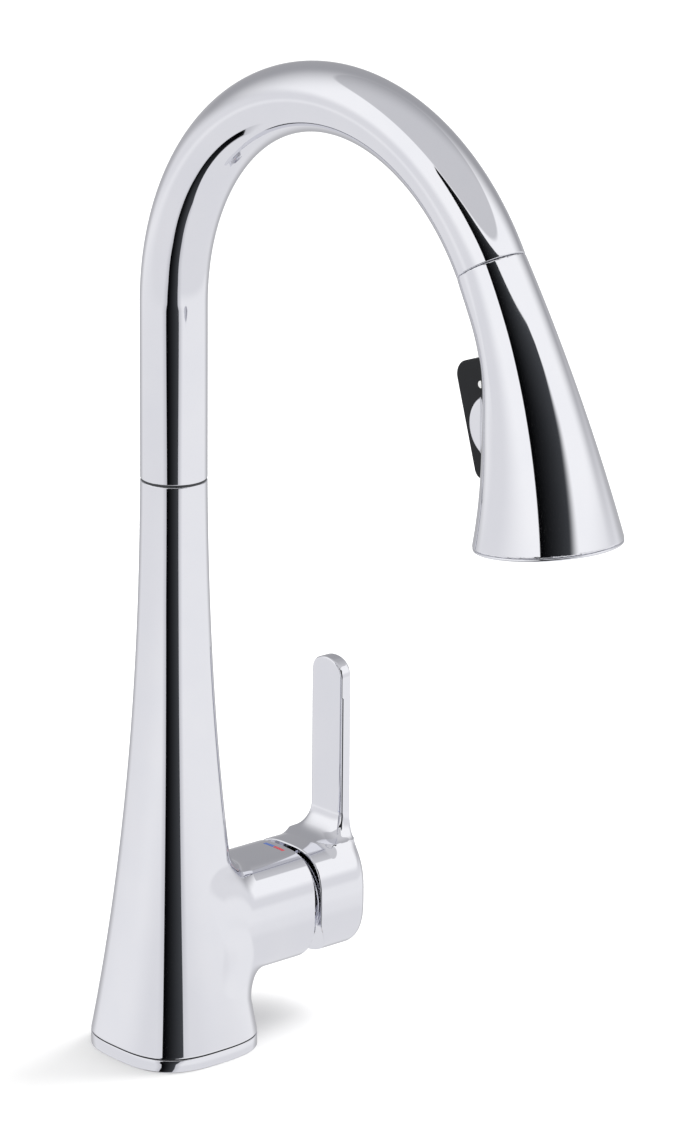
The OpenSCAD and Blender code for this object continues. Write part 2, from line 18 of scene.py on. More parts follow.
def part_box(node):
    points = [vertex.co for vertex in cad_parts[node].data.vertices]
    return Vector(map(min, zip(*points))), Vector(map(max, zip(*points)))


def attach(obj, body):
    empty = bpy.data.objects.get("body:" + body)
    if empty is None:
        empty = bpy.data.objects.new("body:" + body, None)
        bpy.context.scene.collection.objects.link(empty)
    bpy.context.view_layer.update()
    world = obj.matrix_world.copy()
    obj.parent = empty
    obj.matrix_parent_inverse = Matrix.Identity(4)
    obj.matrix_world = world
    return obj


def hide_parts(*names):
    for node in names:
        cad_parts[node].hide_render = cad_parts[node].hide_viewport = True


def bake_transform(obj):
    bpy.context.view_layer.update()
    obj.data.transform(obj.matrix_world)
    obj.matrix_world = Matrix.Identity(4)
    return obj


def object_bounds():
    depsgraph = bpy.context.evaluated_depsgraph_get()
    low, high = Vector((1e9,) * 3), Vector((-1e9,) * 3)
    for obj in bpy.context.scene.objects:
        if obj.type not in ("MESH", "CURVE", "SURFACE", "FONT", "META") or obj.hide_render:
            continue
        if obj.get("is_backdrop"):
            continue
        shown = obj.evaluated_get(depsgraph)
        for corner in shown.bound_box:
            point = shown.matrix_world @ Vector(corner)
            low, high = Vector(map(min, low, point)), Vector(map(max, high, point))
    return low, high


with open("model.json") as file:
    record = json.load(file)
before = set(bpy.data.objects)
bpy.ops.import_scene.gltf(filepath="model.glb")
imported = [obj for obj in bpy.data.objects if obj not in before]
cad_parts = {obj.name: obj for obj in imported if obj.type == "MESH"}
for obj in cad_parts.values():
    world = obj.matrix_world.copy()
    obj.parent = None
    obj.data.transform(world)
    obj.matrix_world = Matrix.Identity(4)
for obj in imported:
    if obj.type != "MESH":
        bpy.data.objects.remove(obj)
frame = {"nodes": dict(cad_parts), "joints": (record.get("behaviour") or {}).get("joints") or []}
cad_low, cad_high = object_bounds()
print("model box", [round(v, 4) for v in (*cad_low, *cad_high)])

# %% [markdown]
# ## The camera
#
# A product shot is taken from far away with a long lens, which keeps upright edges
# nearly parallel. A camera near the object would do too, but the spout would swell
# towards it. So the camera stands nearly two and a half metres off, turned a little
# to the left of the spout, and looks down by seventeen degrees.

# %% The camera
CAMERA_AT = Vector((-1.39928, -1.69081, 0.88950))
TURN, DOWN, ROLL = (math.radians(v) for v in (-41.3697, 17.3813, 0.49433))
forward = Vector((-math.sin(TURN) * math.cos(DOWN), math.cos(TURN) * math.cos(DOWN), -math.sin(DOWN)))
level = Vector((math.cos(TURN), math.sin(TURN), 0))
raised = level.cross(forward)
right = math.cos(ROLL) * level + math.sin(ROLL) * raised
up = math.cos(ROLL) * raised - math.sin(ROLL) * level

lens = bpy.data.cameras.new("long_lens")
lens.lens = 180.32
lens.sensor_width = 36
lens.clip_end = 50
camera = bpy.data.objects.new("camera", lens)
camera.matrix_world = Matrix((right, up, -forward)).transposed().to_4x4()
camera.location = CAMERA_AT
bpy.context.scene.collection.objects.link(camera)
bpy.context.scene.camera = camera
print("camera stands", round(CAMERA_AT.length, 2), "m from the base")

# %% [markdown]
# ## Nodes and colours
#
# Every finish is a small tree of shader nodes. They could be wired by hand in the
# shader editor. In a script one function that adds any node, with its options and
# its inputs, keeps each finish short enough to read.

# %% One function adds a node
def add(tree, kind, options=(), **inputs):
    """Adds a node. An input is a value or another node's output; _ in a name is a space."""
    made = tree.nodes.new("ShaderNode" + kind)
    for key, value in dict(options).items():
        setattr(made, key, value)
    for key, value in inputs.items():
        key = key.replace("_", " ")
        socket = made.inputs[int(key[1:])] if key[1:].isdigit() else made.inputs[key]
        if isinstance(value, bpy.types.NodeSocket):
            tree.links.new(value, socket)
        else:
            socket.default_value = value
    return made

# %% Colours as they are written on screen
def linear(code):
    """Turns an sRGB hex colour into the linear one that the renderer wants."""
    share = [int(code[i:i + 2], 16) / 255 for i in (1, 3, 5)]
    return [v / 12.92 if v <= 0.04045 else ((v + 0.055) / 1.055) ** 2.4 for v in share] + [1]


print("middle grey in linear light", round(linear("#808080")[0], 3))

# %% [markdown]
# ## The studio
#
# Chrome on a white set looks like grey plastic unless something dark stands beside
# the camera. A studio sets up a black card for that, and its reflection runs as
# a sharp black stripe down every tube. Real cards could be modelled as planes. Here
# they are drawn into the surrounding light, by direction, so that they can never
# stand in the way of another view. Only reflections see them: the floor is lit by
# plain white from all sides.

# %% Directions around the set
world = bpy.data.worlds.new("white_studio")
world.use_nodes = True
bpy.context.scene.world = world
bpy.context.scene.view_settings.view_transform = "Standard"
sky = world.node_tree
sky.nodes.clear()
where = add(sky, "TexCoord").outputs["Generated"]
toward = Vector((-forward.x, -forward.y, 0)).normalized()
beside = Vector((toward.y, -toward.x, 0))
ahead = add(sky, "VectorMath", {"operation": "DOT_PRODUCT"}, _0=where, _1=toward).outputs["Value"]
aside = add(sky, "VectorMath", {"operation": "DOT_PRODUCT"}, _0=where, _1=beside).outputs["Value"]
height = add(sky, "SeparateXYZ", Vector=where).outputs["Z"]


def calc(operation, *values):
    """One step of arithmetic in the sky."""
    inputs = {f"_{i}": value for i, value in enumerate(values)}
    return add(sky, "Math", {"operation": operation}, **inputs).outputs[0]


def ramp(value, start, end, low=0.0, high=1.0):
    """Goes smoothly from low to high while value goes from start to end."""
    made = add(sky, "MapRange", {"interpolation_type": "SMOOTHSTEP"}, Value=value,
               From_Min=start, From_Max=end, To_Min=low, To_Max=high)
    return made.outputs["Result"]


around = calc("DEGREES", calc("ARCTAN2", aside, ahead))
rise = calc("DEGREES", calc("ARCSINE", height))

# %% The black card beside the camera
def curve(value, pairs):
    """Follows a line drawn through pairs of degrees."""
    made = add(sky, "FloatCurve", Value=calc("MULTIPLY_ADD", value, 1 / 180, 0.5))
    line = made.mapping.curves[0]
    for _ in pairs[2:]:
        line.points.new(0.5, 0.5)
    for point, (x, y) in zip(line.points, pairs):
        point.location = (x / 180 + 0.5, y / 360 + 0.5)
        point.handle_type = "VECTOR"
    made.mapping.update()
    return calc("MULTIPLY_ADD", made.outputs[0], 360.0, -180.0)


# the card bends away under the spout, so each edge is given at several heights
left_edge = curve(rise, [(-61, 100), (-52, 96), (-50, 78), (-47, 60), (-42, 46), (-35, 31), (-24, 22),
                         (-17, 21), (-14, 26), (-10, 23), (-3, 19), (15, 15.5), (20, 18), (27, 21),
                         (30, 26), (36, 42), (40, 51), (90, 51)])
right_edge = curve(rise, [(-61, 64), (-60, 40), (-58, 20), (-43, 0), (-27, -12), (-17, -15), (-14, -21),
                          (-10, -26), (-5, -31), (16, -38), (22, -47), (27, -55), (33, -56.5), (36, -54),
                          (38.5, -48), (40, -38), (41.7, -18), (43.7, 5), (45, 24), (90, 60)])

# the far edge is sharp low down and high up, and soft in between
CRISP, SOFTEST = 0.8, 10.0
soft = ramp(rise, 0.0, 16.0, CRISP, SOFTEST)
soft = calc("MINIMUM", soft, ramp(rise, 36.0, 24.0, CRISP, SOFTEST))
in_left = calc("SUBTRACT", left_edge, around)
in_right = calc("SUBTRACT", around, right_edge)
under_top = ramp(rise, 45.5, 44.5)
over_end = ramp(rise, -62.0, -60.0)
within = calc("MULTIPLY", ramp(in_left, -0.7, 0.7), ramp(in_right, calc("MULTIPLY", soft, -1.0), soft))
card = calc("MULTIPLY", calc("MULTIPLY", within, under_top), over_end)
shine = calc("POWER", calc("DIVIDE", in_left, calc("MAXIMUM", calc("ADD", in_left, in_right), 1.0)), 1.6)
halo = ramp(calc("MINIMUM", in_left, in_right), -16.0, 0.0)

# %% [markdown]
# ## The greys of the room
#
# The rest of the room is close to white, but not even. It is a little grey at eye
# level and on the side away from the lever, white above, and darker behind the set
# and straight up. Each line tints one zone of directions over the ones before it,
# and the wide ramps keep the borders from showing as lines on the body.

# %% The soft greys of the room
WALL = linear("#A4A4A7")                # behind the set
CEILING = linear("#CFCFD1")             # straight up
TABLE = linear("#E5E5E7")               # at eye level and below
PALE = linear("#F2F2F3")                # low down, on the lever's side
BRIGHT = linear("#FFFFFF")
SHADE = linear("#CDCDD0")               # beside the card
BLACK = linear("#020203")
SHEEN = linear("#45474A")               # the card's far side, where it catches some light


def tint(share, low, high):
    """Mixes two colours of light."""
    made = add(sky, "Mix", {"data_type": "RGBA"}, Factor=share)
    for socket, value in ((made.inputs[6], low), (made.inputs[7], high)):
        if isinstance(value, bpy.types.NodeSocket):
            sky.links.new(value, socket)
        else:
            socket.default_value = value
    return made.outputs[2]


room = tint(ramp(rise, 1.0, 16.0), TABLE, BRIGHT)
room = tint(ramp(rise, -5.0, -12.0), room, PALE)
room = tint(calc("MULTIPLY", ramp(around, 5.0, 25.0), ramp(rise, -10.0, -18.0)), room, TABLE)
room = tint(ramp(rise, -18.0, -24.0), room, TABLE)
room = tint(calc("MULTIPLY", halo, ramp(rise, 0.0, -8.0)), room, SHADE)
room = tint(ramp(rise, 45.0, 47.5), room, CEILING)
room = tint(calc("MULTIPLY", ramp(ahead, -0.55, -0.9), 0.8), room, WALL)
room = tint(calc("MULTIPLY", ramp(ahead, -0.1, -0.85), ramp(rise, -2.0, 8.0)), room, WALL)
room = tint(card, room, tint(shine, BLACK, SHEEN))
seen = add(sky, "LightPath").outputs["Is Glossy Ray"]
shot = add(sky, "Background", Color=room, Strength=1.09)
plain = add(sky, "Background", Color=BRIGHT, Strength=1.08)
blend = add(sky, "MixShader", _0=seen, _1=plain.outputs[0], _2=shot.outputs[0])
add(sky, "OutputWorld", Surface=blend.outputs[0])
print("studio with", len(sky.nodes), "nodes")

# %% [markdown]
# ## Mesh helpers
#
# Two kinds of shape cover the whole faucet. A pipe, a ring or a hose is a row of
# outlines joined by a skin. The body with its arm, the lever on its hub and the
# slotted head have outlines that melt into each other, which rows of outlines can't
# do. Sculpting or subdivision could, but never quite to size. Those are written as
# a rule that says how far any point is from the surface, and the mesh is drawn where
# the rule gives zero. Joining two rules with a rounded corner makes a true fillet.

# %% Making a mesh object from millimetres
MM = 0.001


def shape(name, points, faces, normals=None):
    """A smooth mesh object from points in millimetres."""
    mesh = bpy.data.meshes.new(name)
    mesh.from_pydata((np.asarray(points) * MM).tolist(), [], np.asarray(faces).tolist())
    mesh.shade_smooth()
    if normals is not None:
        mesh.normals_split_custom_set_from_vertices(np.asarray(normals).tolist())
    made = bpy.data.objects.new(name, mesh)
    bpy.context.scene.collection.objects.link(made)
    print(name, len(mesh.vertices), "points")
    return made

# %% A skin over a row of outlines
def skin(name, outlines, closed=False):
    """Joins outlines of equal length, one after another; closed joins the last to the first."""
    outlines = np.asarray(outlines, float)
    rows, sides = outlines.shape[:2]
    number = np.arange(rows * sides).reshape(rows, sides)
    after = np.roll(number, -1, axis=0) if closed else number[1:]
    here = number if closed else number[:-1]
    faces = np.stack([here, np.roll(here, -1, 1), np.roll(after, -1, 1), after], -1)
    return shape(name, outlines.reshape(-1, 3), faces.reshape(-1, 4))

# %% A rounded square, the outline of the base, the arm and the hub
def squircle(across, along, power):
    """How far out a point lies, measured in rounded squares."""
    return (np.abs(across) ** power + np.abs(along) ** power) ** (1 / power)


def squircle_loop(half_w, half_h, power, sides):
    """Points round a rounded square."""
    turn = np.linspace(0, 2 * np.pi, sides, endpoint=False)
    reach = 1 / squircle(np.cos(turn) / half_w, np.sin(turn) / half_h, power)
    return np.stack([reach * np.cos(turn), reach * np.sin(turn)], -1)

# %% Joining and cutting with a rounded corner
def join(first, second, radius):
    """Two rules made one, with a fillet in the corner between them."""
    corner = np.hypot(np.maximum(radius - first, 0), np.maximum(radius - second, 0))
    return np.maximum(radius, np.minimum(first, second)) - corner


def common(first, second, radius):
    """What lies inside both rules, with its edge rounded off."""
    corner = np.hypot(np.maximum(radius + first, 0), np.maximum(radius + second, 0))
    return np.minimum(-radius, np.maximum(first, second)) + corner


def without(first, second, radius):
    """The first rule with the second cut out of it."""
    return common(first, -second, radius)

# %% Drawing the mesh where a rule gives zero
def solve(rule, points):
    """The rule's value and slope at each point."""
    step = 0.02
    slope = [rule(points + step * axis) - rule(points - step * axis) for axis in np.eye(3)]
    return rule(points), np.stack(slope, -1) / (2 * step)


def lines(start, *stretches):
    """Grid lines from start, in stretches that each have an end and a spacing."""
    made = [start]
    for stop, gap in stretches:
        count = max(1, round((stop - made[-1]) / gap))
        made += list(np.linspace(made[-1], stop, count + 1)[1:])
    return np.array(made)


def cast(name, rule, *axes, floor=None):
    """One point in each cell that the surface crosses, moved onto the surface; open below floor."""
    inside = np.concatenate([rule(np.stack(np.meshgrid(axes[0], axes[1], part, indexing="ij"), -1)) < 0
                             for part in np.array_split(axes[2], 12)], axis=2)
    nx, ny, nz = (len(axis) - 1 for axis in axes)
    corners = sum(inside[i:nx + i, j:ny + j, k:nz + k].astype(np.int8)
                  for i in (0, 1) for j in (0, 1) for k in (0, 1))
    crossed = (corners > 0) & (corners < 8)
    number = np.full(crossed.shape, -1)
    number[crossed] = np.arange(crossed.sum())
    cells = np.argwhere(crossed)
    points = np.stack([(axes[i][cells[:, i]] + axes[i][cells[:, i] + 1]) / 2 for i in range(3)], -1)
    reach = np.stack([np.diff(axes[i])[cells[:, i]] / 2 for i in range(3)], -1)
    for _ in range(6):
        value, slope = solve(rule, points)
        move = slope * (value / np.maximum((slope ** 2).sum(-1), 0.05))[:, None]
        points = points - np.clip(move, -reach, reach)
    faces = []
    for axis in range(3):
        side, other = (axis + 1) % 3, (axis + 2) % 3
        low_end = np.take(inside, range(inside.shape[axis] - 1), axis)
        high_end = np.take(inside, range(1, inside.shape[axis]), axis)
        edges = np.argwhere(low_end != high_end)
        leaving = low_end[tuple(edges.T)]
        cells = []
        for a, b in ((1, 1), (0, 1), (0, 0), (1, 0)):
            cell = edges.copy()
            cell[:, side] -= a
            cell[:, other] -= b
            cells.append(number[tuple(cell.T)])
        quads = np.stack(cells, -1)
        quads[~leaving] = quads[~leaving][:, ::-1]
        faces.append(quads)
    faces = np.concatenate(faces)
    if floor is not None:
        faces = faces[points[faces, 2].min(1) > floor - reach[:, 2].min() / 2]
        points[:, 2] = np.maximum(points[:, 2], floor)
        used, faces = np.unique(faces, return_inverse=True)
        points, faces = points[used], faces.reshape(-1, 4)
    slope = solve(rule, points)[1]
    length = np.linalg.norm(slope, axis=-1, keepdims=True)
    return shape(name, points, faces, slope / np.maximum(length, 1e-6))

# %% [markdown]
# ## The cast body and its arm
#
# The body is a brass casting, ground, polished and plated. It flares from the round
# spout to a rounded square base, and the valve's arm grows out of its side with a
# soft fillet. One surface has to carry the reflections across both, so it is drawn
# from one rule: column and arm joined, with the valve chamber and the teardrop
# relief cut out of the rim.

# %% Sizes taken from the exact model
joints = {j["name"]: j for j in frame["joints"]}
tilt_x, _, arm_z = (v / MM for v in joints["flow_tilt"]["pos_m"])
body_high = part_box("body")[1] / MM
ring_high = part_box("base_ring")[1] / MM
hub_low, hub_high = (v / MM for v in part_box("handle"))
tube_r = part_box("spout_tube")[1].x / MM
seam_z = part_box("spout_tube")[0].z / MM
base_r = ring_high.x
foot_h = ring_high.z
body_h = body_high.z
arm_x = body_high.x
arm_half_w = hub_high.y
arm_half_h = arm_z - hub_low.z
print("arm's axis is", round(arm_z, 2), "mm up and its rim", round(arm_x, 2), "mm out")

# %% The column and the arm
FLARE_POWER = 2.15
BASE_SQUARE, ARM_SQUARE = 2.9, 3.0
FOOT_SEAM = 0.6
ARM_ROOT = 8                            # how far in, beyond the column's middle, the arm starts
ARM_FILLET, SIDE_FILLET = 11, 4         # wide above and below the arm, narrow at its sides
CHAMBER_R, CHAMBER_DEPTH = 18.5, 12


def half_width(z):
    """Half the column's width at a height."""
    left = np.clip(1 - z / body_h, 0, 1)
    return np.minimum(base_r, tube_r + (base_r + 1 - tube_r) * left ** FLARE_POWER)


def column(p):
    """The flared column."""
    x, y, z = np.moveaxis(p, -1, 0)
    power = 2 + (BASE_SQUARE - 2) * np.clip(1 - z / body_h, 0, 1)
    return squircle(x, y, power) - half_width(z)


def arm(p):
    """The valve's arm."""
    x, y, z = np.moveaxis(p, -1, 0)
    return (squircle(y / arm_half_w, (z - arm_z) / arm_half_h, ARM_SQUARE) - 1) * arm_half_h

# %% The teardrop that the handle tilts into
RELIEF_R = 5.6
relief_x, relief_z = arm_x + 3.5, arm_z - 22
relief_top = Vector((arm_x + 1.6 - relief_x, arm_z - 3.5 - relief_z))


def teardrop(p):
    """A round slot across the arm that narrows to a point near the axis."""
    x, _, z = np.moveaxis(p, -1, 0)
    x, z = x - relief_x, z - relief_z
    tall = relief_top.length
    along = (x * relief_top.x + z * relief_top.y) / tall
    off = np.abs(x * relief_top.y - z * relief_top.x) / tall
    lean = RELIEF_R / tall
    flat = math.sqrt(1 - lean * lean)
    side = along * flat - off * lean
    round_end = np.hypot(off, along) - RELIEF_R
    cone = off * flat + along * lean - RELIEF_R
    drop = np.where(side < 0, round_end, np.where(side > flat * tall, np.hypot(off, along - tall), cone))
    mouth = np.maximum(np.abs(x) - RELIEF_R, z)
    return np.minimum(drop, mouth)

# %% The body
def body_rule(p):
    """The whole casting."""
    x, y, z = np.moveaxis(p, -1, 0)
    reach = common(common(arm(p), x - arm_x, 0.6), ARM_ROOT - x, 0.5)
    upright = np.clip(np.abs(z - arm_z) / (arm_half_h + 4), 0, 1)
    eased = upright ** 2 * (3 - 2 * upright)
    solid = join(column(p), reach, SIDE_FILLET + (ARM_FILLET - SIDE_FILLET) * eased)
    solid = common(solid, z - body_h, 0.4)
    chamber = np.maximum(np.hypot(y, z - arm_z) - CHAMBER_R, arm_x - CHAMBER_DEPTH - x)
    return without(without(solid, chamber, 0.3), teardrop(p), 0.35)


FINE, COARSE = 0.55, 1.8                # coarse only up the plain column
column_z0 = foot_h + FOOT_SEAM
arm_top = arm_z + arm_half_h + 14
cast_body = cast("cast_body", body_rule, lines(-33, (60, FINE)), lines(-33, (33, FINE)),
                 lines(column_z0 - 2.5 * FINE, (column_z0 + 0.5 * FINE, FINE), (arm_top, FINE),
                       (body_h - 3, COARSE), (body_h + 1, FINE)), floor=column_z0)
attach(cast_body, "base")
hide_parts("body")

# %% [markdown]
# ## The trim ring under the body
#
# A separate plated ring covers the hole in the deck. It has crisp corners, broken
# by half a millimetre, and a thin dark groove above it. A skin over a few outlines
# is enough, with the outlines close together at the corners.

# %% The trim ring
def ring_profile(r, top, bottom, hole, edge):
    """Inset and height round a ring's section, with small round corners."""
    quarter = np.linspace(0, np.pi / 2, 5)
    outer_low = [(r - edge + edge * math.sin(a), bottom + edge - edge * math.cos(a)) for a in quarter]
    outer_top = [(r - edge + edge * math.cos(a), top - edge + edge * math.sin(a)) for a in quarter]
    inner = [(hole + edge, top), (hole, top - edge), (hole, bottom + edge), (hole + edge, bottom)]
    return outer_low + outer_top + inner


SIDES = 192
DECK_BORE_R, RING_EDGE = 17.6, 0.45
flat_ring = []
for reach, z in ring_profile(base_r, foot_h, 0, DECK_BORE_R, RING_EDGE):
    power = BASE_SQUARE if reach > base_r - 8 else 2.0
    loop = squircle_loop(reach, reach, power, SIDES)
    flat_ring.append(np.c_[loop, np.full(SIDES, z)])
trim_ring = skin("trim_ring", flat_ring, closed=True)
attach(trim_ring, "base")
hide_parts("base_ring")

# %% The dark groove above the ring
groove = []
for reach, z in ((base_r - 3, foot_h - 0.2), (base_r - 0.7, foot_h - 0.2), (base_r - 0.7, column_z0 + 0.3),
                 (base_r - 3, column_z0 + 0.3)):
    groove.append(np.c_[squircle_loop(reach, reach, BASE_SQUARE, SIDES), np.full(SIDES, z)])
base_groove = skin("base_groove", groove, closed=True)
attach(base_groove, "base")

# %% [markdown]
# ## The spout
#
# The spout is a drawn brass tube, bent over a form and plated. Bending keeps its
# section round, so it is one circle carried along a straight line and an arc. Small
# steps in the arc matter more than many sides, because the stripe of the black card
# runs along it.

# %% A round outline carried along a line
def rings_along(line, radii, sides):
    """Circles round a line in the plane of the spout, one for each point and radius."""
    line = np.asarray(line, float)
    way = np.gradient(line, axis=0)
    way /= np.linalg.norm(way, axis=1, keepdims=True)
    turn = np.linspace(0, 2 * np.pi, sides, endpoint=False)
    rings = []
    for (y, z), (ty, tz), r in zip(line, way, radii):
        out = r * np.sin(turn)
        rings.append(np.stack([r * np.cos(turn), y + out * tz, z - out * ty], -1))
    return rings

# %% The bent tube
RISER_TOP, ARC_R, ARC_DEG = 314, 99, 149
TUBE_WALL = 1.25
LIP = 0.35
swing = np.radians(np.linspace(0, ARC_DEG, 150))
heights = (seam_z + LIP, seam_z + LIP + 0.1, *np.linspace(seam_z + 6, RISER_TOP, 12)[:-1])
straight = [(0, z) for z in heights]
bent = [(-ARC_R * (1 - math.cos(a)), RISER_TOP + ARC_R * math.sin(a)) for a in swing]
outside = np.array(straight + bent)
outlet = Vector((0, *bent[-1]))
downstream = Vector((0, -math.sin(swing[-1]), math.cos(swing[-1])))
tube_rings = rings_along(outside, [tube_r] * len(outside), 96)
end, way = np.array(outlet), np.array(downstream)
mouth = tube_rings[-1] - end
wall, lip = TUBE_WALL / tube_r, LIP / tube_r
seam_rings = [tube_rings[0] * (1 - share, 1 - share, 1) - (0, 0, drop)
              for share, drop in ((wall, 0), (wall, LIP), (lip, LIP), (0.01, 0.2))]
inner_mouth = end + mouth * (1 - wall)
inside_end = [end + mouth * (1 - lip), inner_mouth, inner_mouth - way * 14]
tube_rings[-1] = tube_rings[-1] - way * LIP
tube_rings.insert(-1, tube_rings[-1] - way * 0.1)
spout_pipe = skin("spout_pipe", seam_rings + tube_rings + inside_end)
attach(spout_pipe, "spout")
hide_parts("spout_tube")

# %% [markdown]
# ## The spray head
#
# The head is a plated shell that goes on in the line of the spout, bends a little
# more and opens like a bell. Two round ears hold the trigger's pin in a slot on the
# side that faces the riser. The bell could be a skin over circles, but the ears and
# the slot cut across them, so it is a rule again, written along the head's own axis.

# %% Distances along the head's curved axis
HEAD_LEN, HEAD_BEND, HEAD_WALL = 105, 24.5, 1.8
HEAD_ROUND, SCOOP, SCOOP_END = 0.39, 2.6, 0.62
face_r = 28.4
head_arc = HEAD_LEN / math.radians(HEAD_BEND)
head_centre = (outlet.y - head_arc * math.cos(math.radians(ARC_DEG)),
               outlet.z - head_arc * math.sin(math.radians(ARC_DEG)))


def head_place(p):
    """How far along the head a point is, and how far to the outer side of its axis."""
    y, z = p[..., 1] - head_centre[0], p[..., 2] - head_centre[1]
    along = (np.degrees(np.arctan2(z, y)) - ARC_DEG) * HEAD_LEN / HEAD_BEND
    return along, np.hypot(y, z) - head_arc


def head_point(s):
    """A point on the head's axis, with the directions down the head and away from the riser."""
    turn = math.radians(ARC_DEG + HEAD_BEND * s / HEAD_LEN)
    at = Vector((0, head_centre[0] + head_arc * math.cos(turn), head_centre[1] + head_arc * math.sin(turn)))
    return at, Vector((0, -math.sin(turn), math.cos(turn))), Vector((0, math.cos(turn), math.sin(turn)))

# %% The bell, and the flat place where the trigger sits
TRIGGER_W, TRIGGER_ROOM = 18, 0.5
EAR_R, EAR_OUT, EAR_T = 12.5, 9.5, 3.2
SLOT_UP, SLOT_DOWN = 27.5, 20.5
TRIGGER_S = 59
trigger_at, trigger_down, trigger_back = head_point(TRIGGER_S)


def beside_head(p):
    """A point as: across, out towards the riser and down, from the trigger's station."""
    rel = p - np.array(trigger_at)
    return p[..., 0], -rel @ np.array(trigger_back), rel @ np.array(trigger_down)


def bell(p, inset):
    """The flared round of the head, with the hollow in its riser side."""
    along, outward = head_place(p)
    u = np.clip(along / HEAD_LEN, 0, 1)
    r = np.hypot(p[..., 0], outward)
    wide = tube_r + (face_r - tube_r) * (HEAD_ROUND * u + (1 - HEAD_ROUND) * u * u)
    hollow = np.where(u < SCOOP_END, np.sin(np.pi * u / SCOOP_END) ** 2, 0)
    return (r - wide + inset + SCOOP * hollow * np.maximum(0, -outward / np.maximum(r, 1e-6))) * 0.97


def head_rule(p):
    """The hollow bell with its two ears and the slot between them."""
    along, _ = head_place(p)
    across, out, down = beside_head(p)
    shell = common(common(bell(p, 0), 0.15 - along, 0.35), along - HEAD_LEN, 0.5)
    shell = without(shell, bell(p, HEAD_WALL), 0.1)
    half_slot = TRIGGER_W / 2 + TRIGGER_ROOM
    ear = common(np.hypot(out - EAR_OUT, down) - EAR_R, np.abs(across) - half_slot - EAR_T, 1.2)
    ear = np.maximum(ear, EAR_OUT - 1 - out)
    slot = np.maximum(np.abs(across) - half_slot, 2 - out)
    slot = np.maximum(slot, np.maximum(-SLOT_UP - down, down - SLOT_DOWN))
    return without(join(shell, ear, 1.5), slot, 0.4)


def around_box(node, gap, room=2):
    """Grid lines round a node of the exact model."""
    low, high = (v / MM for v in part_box(node))
    return [lines(a - room, (b + room, gap)) for a, b in zip(low, high)]


head_cover = cast("head_cover", head_rule, *around_box("head_shell", 0.6))
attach(head_cover, "head")
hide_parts("head_shell")

# %% [markdown]
# ## The trigger
#
# The rocker that switches between stream and spray is moulded in black, with a
# matt skin for a wet thumb. It is a flat paddle with round corners, so its outline
# is drawn once and given a width, with soft edges all round.

# %% The trigger
TRIGGER_FACE, TRIGGER_UP, TRIGGER_DOWN = 27.7, 26, 19
TRIGGER_BACK = [(12.5, -26), (13.5, -6), (15.5, 4), (20, 19)]        # out and down, along its inner side


def trigger_rule(p):
    """The paddle: a flat face, a back of three straight lines and round ends."""
    across, out, down = beside_head(p)
    paddle = common(out - TRIGGER_FACE, -TRIGGER_UP - down, 6.0)
    paddle = np.maximum(paddle, common(out - TRIGGER_FACE, down - TRIGGER_DOWN, 4.0))
    for (a, b), (c, d) in zip(TRIGGER_BACK[:-1], TRIGGER_BACK[1:]):
        size = math.hypot(c - a, d - b)
        paddle = common(paddle, ((c - a) * (down - b) - (d - b) * (out - a)) / size, 0.3)
    return common(paddle, np.abs(across) - TRIGGER_W / 2, 0.9)


trigger_key = cast("trigger_key", trigger_rule, *around_box("trigger", 0.6))
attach(trigger_key, "trigger")
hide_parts("trigger")

# %% [markdown]
# ## The handle
#
# Hub and lever are one zinc casting. The lever leaves the hub's outer end with a
# wide fillet on the inside, stays flush on the outside and ends in a round tip. The
# same kind of rule as the body's gives it, with the valve's room hollowed out.

# %% The hub and the lever
HUB_ROUND, LEVER_W, LEVER_T, LEVER_FOOT, TOP_ROUND = 7, 20, 6, 11, 8
HUB_BORE_R, HUB_FLOOR = 19.5, 75.5
LEVER_SQUARE = 4.5
hub_x, hub_end, lever_top = hub_low.x, hub_high.x, hub_high.z
foot_z = arm_z + arm_half_h + LEVER_FOOT


def hub(p):
    """The squircle cup that turns in line with the arm."""
    x, y, z = np.moveaxis(p, -1, 0)
    side = (squircle(y / arm_half_w, (z - arm_z) / arm_half_h, ARM_SQUARE) - 1) * arm_half_h
    return common(common(side, x - hub_end, HUB_ROUND), hub_x - x, 0.7)


def lever(p):
    """The flat lever, thicker and wider towards its foot."""
    x, y, z = np.moveaxis(p, -1, 0)
    near = np.clip(foot_z - z, 0, LEVER_FOOT)
    foot = LEVER_FOOT - np.sqrt(LEVER_FOOT ** 2 - 0.98 * near ** 2)
    half_t = (LEVER_T + foot) / 2
    half_w = LEVER_W / 2 + foot / 2
    side = (squircle((x - hub_end + half_t) / half_t, y / half_w, LEVER_SQUARE) - 1) * half_t
    over = np.maximum(z - lever_top + TOP_ROUND, 0)
    tip = (np.hypot(y / (LEVER_W / 2), over / TOP_ROUND) - 1) * TOP_ROUND
    tip = np.where(z > lever_top - 2 * TOP_ROUND, tip, -TOP_ROUND)
    return np.maximum(common(side, tip, 0.8), arm_z + 6 - z)


def handle_rule(p):
    """Hub and lever in one piece, hollowed for the valve."""
    x, y, z = np.moveaxis(p, -1, 0)
    solid = join(hub(p), lever(p), 3.0)
    room = np.maximum(np.hypot(y, z - arm_z) - HUB_BORE_R, x - HUB_FLOOR)
    return without(without(solid, room, 0.3), teardrop(p), 0.35)


lever_handle = cast("lever_handle", handle_rule, *around_box("handle", 0.5))
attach(lever_handle, "handle")
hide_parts("handle")

# %% [markdown]
# ## The bonnet behind the gap
#
# A plated dome closes the arm, and the hub swings over it. Only a sliver shows
# through the gap, but its curve catches light and dark and makes the joint read as
# deep. It was turned on a lathe, so it is a profile carried round the arm's axis.

